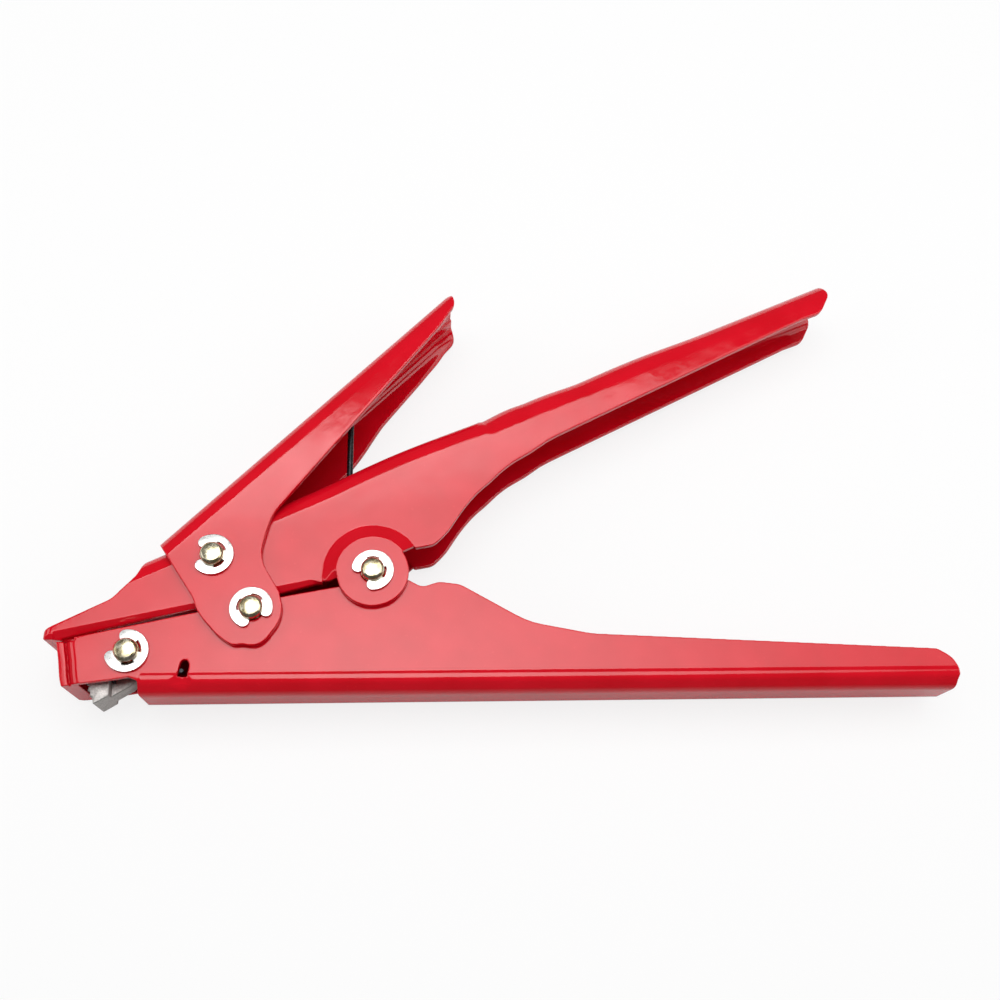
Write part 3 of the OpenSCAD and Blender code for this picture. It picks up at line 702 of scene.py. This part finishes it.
GRIP_WIRE = 0.8 * MM
GRIP_COIL = 3.2 * MM
GRIP_PITCH = 1.3 * MM
HOOK_BEND = 2 * GRIP_WIRE
HOOK_STEPS = 8
HOOK_AT = np.array((-38.94, -21.0)) * MM
pin_low, pin_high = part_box("gripper_pin")
grip_low, grip_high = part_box("gripper_spring")
grip = np.array(((pin_low.x + pin_high.x) / 2, (pin_low.y + pin_high.y) / 2))
reach = HOOK_AT - grip
grip_exit = math.degrees(
    math.atan2(reach[1], reach[0]) + math.acos(GRIP_COIL / np.linalg.norm(reach)))
grip_turn = grip_exit - FULL_TURN - COIL_START
grip_z = grip_low.z + GRIP_WIRE / 2
grip_top = grip_z - GRIP_PITCH * grip_turn / FULL_TURN
out_at = grip + GRIP_COIL * round_way(grip_exit)
hook_way = (HOOK_AT - out_at) / np.linalg.norm(HOOK_AT - out_at)
bend_from = HOOK_AT - hook_way * HOOK_BEND
bend = [
    np.array((*(bend_from + hook_way * HOOK_BEND * math.sin(a)),
              grip_top + HOOK_BEND * (1 - math.cos(a))))
    for a in (math.pi / 2 * i / HOOK_STEPS for i in range(HOOK_STEPS + 1))
]
gripper_wire = wire("gripper_spring_wire", joined(
    straight((grip[0] - GRIP_COIL, grip_low.y, grip_z), (grip[0] - GRIP_COIL, grip[1], grip_z)),
    coil(grip, GRIP_COIL, grip_turn, grip_z, grip_top),
    straight((*out_at, grip_top), (*bend_from, grip_top)),
    bend,
    straight(bend[-1], (*HOOK_AT, grip_high.z), 4),
), GRIP_WIRE)
spring_part(gripper_wire, "gripper_spring")

# Floor and world

FLOOR_SIZE = 6.0
FLOOR_GAP = 0.05 * MM
FLOOR_GREY = (0.86, 0.86, 0.86, 1)

# The share of the floor's own shade in what the camera and the mirrors see; the rest is white
CAMERA_SHADOW = 0.18
MIRROR_SHADOW = 0.96

# Painted shade in mirrors: between these places along Y, towards -Y, the floor that mirrors see is
# painted darker, down to the room's brightness in mirrors
MIRROR_SHADE_SPAN = (0.0, -0.1)

# Light of the world on the tool, and its brightness in mirrors
ROOM_LIGHT = 0.28
ROOM_MIRRORED = 0.1


def make_floor():
    half = FLOOR_SIZE / 2
    level = cad_low.z - FLOOR_GAP
    corners = ((-half, -half), (half, -half), (half, half), (-half, half))
    mesh = bpy.data.meshes.new("floor")
    mesh.from_pydata([(x, y, level) for x, y in corners], [], [(0, 1, 2, 3)])
    linked("floor", mesh)
    n = Finish("floor")
    ray = n.add("ShaderNodeLightPath").outputs
    shade = n.add("ShaderNodeBsdfDiffuse")
    shade.inputs["Color"].default_value = FLOOR_GREY
    shade = shade.outputs[0]
    shadow = n.mapped(ray["Is Glossy Ray"], span=(0, 1), to=(CAMERA_SHADOW, MIRROR_SHADOW))
    near = n.shader_mix(shadow, n.emission(1.0), shade)
    place = n.add("ShaderNodeSeparateXYZ")
    n.link(n.coords, place.inputs[0])
    # Painted shade: towards -Y, mirrors see the floor fade to the dim ROOM_MIRRORED
    painted_mirror_shade = n.mapped(place.outputs["Y"], MIRROR_SHADE_SPAN, to=(0, 1), kind="SMOOTHSTEP")
    painted_mirror_shade = n.math("MULTIPLY", painted_mirror_shade, ray["Is Glossy Ray"])
    seen = n.shader_mix(painted_mirror_shade, near, n.emission(ROOM_MIRRORED))
    looks = n.math("MAXIMUM", ray["Is Camera Ray"], ray["Is Glossy Ray"])
    looks = n.math("MAXIMUM", looks, ray["Is Transmission Ray"])
    n.link(n.shader_mix(looks, shade, seen), n.out.inputs["Surface"])
    mesh.materials.append(n.material)


def make_world():
    scene.world = bpy.data.worlds.new("studio")
    n = Nodes(scene.world)
    n.tree.nodes.clear()
    out = n.add("ShaderNodeOutputWorld")
    sky = n.add("ShaderNodeBackground")
    sky.inputs["Color"].default_value = WHITE
    ray = n.add("ShaderNodeLightPath").outputs
    strength = n.mapped(ray["Is Glossy Ray"], span=(0, 1), to=(ROOM_LIGHT, ROOM_MIRRORED))
    for kind in ("Is Camera Ray", "Is Transmission Ray"):
        strength = n.math("MAXIMUM", strength, ray[kind])
    n.link(strength, sky.inputs["Strength"])
    n.link(sky.outputs[0], out.inputs["Surface"])


make_floor()
make_world()

# Lights

# Across the face of the soft box its light changes smoothly, from a share at one place on an axis
# to all of it at another: the axis, the two places and the share
SOFT_BOX_FADES = [
    ("X", (1.0, 0.25), 0.3),
    ("X", (0.02, 0.24), 0.75),
    ("Y", (0.76, 0.45), 0.72),
    ("Y", (0.92, 0.76), 1.7),
]


def area_light(name, at, aim, size, radiance, roll=0.0):
    """A rectangle whose face shines with the given radiance."""
    data = bpy.data.lights.new(name, "AREA")
    data.shape = "RECTANGLE"
    data.size, data.size_y = size
    data.energy = radiance * size[0] * size[1] * math.pi
    light = linked(name, data)
    light.location = Vector(at)
    turn = (Vector(aim) - Vector(at)).to_track_quat("-Z", "Y")
    light.rotation_mode = "QUATERNION"
    light.rotation_quaternion = turn @ Matrix.Rotation(math.radians(roll), 3, "Z").to_quaternion()
    return light


def fade_across(light, fades):
    n = Nodes(light.data)
    face = n.add("ShaderNodeSeparateXYZ")
    n.link(n.add("ShaderNodeNewGeometry").outputs["Parametric"], face.inputs[0])
    shares = [
        n.mapped(face.outputs[axis], places, to=(share, 1.0), kind="SMOOTHSTEP")
        for axis, places, share in fades
    ]
    strength = shares[0]
    for share in shares[1:]:
        strength = n.math("MULTIPLY", strength, share)
    n.link(strength, n.tree.nodes["Emission"].inputs["Strength"])


soft_box = area_light("soft_box", at=(0.10, 0.134, 0.52), aim=(0.10, 0.134, 0), size=(0.64, 0.33),
                      radiance=4.9, roll=10)
fade_across(soft_box, SOFT_BOX_FADES)
for name, side in (("left_box", -1), ("right_box", 1)):
    area_light(name, at=(side * 0.55, 0, 0.35), aim=(0, 0, 0), size=(0.4, 0.3), radiance=2.2)

scene.view_settings.view_transform = "Standard"
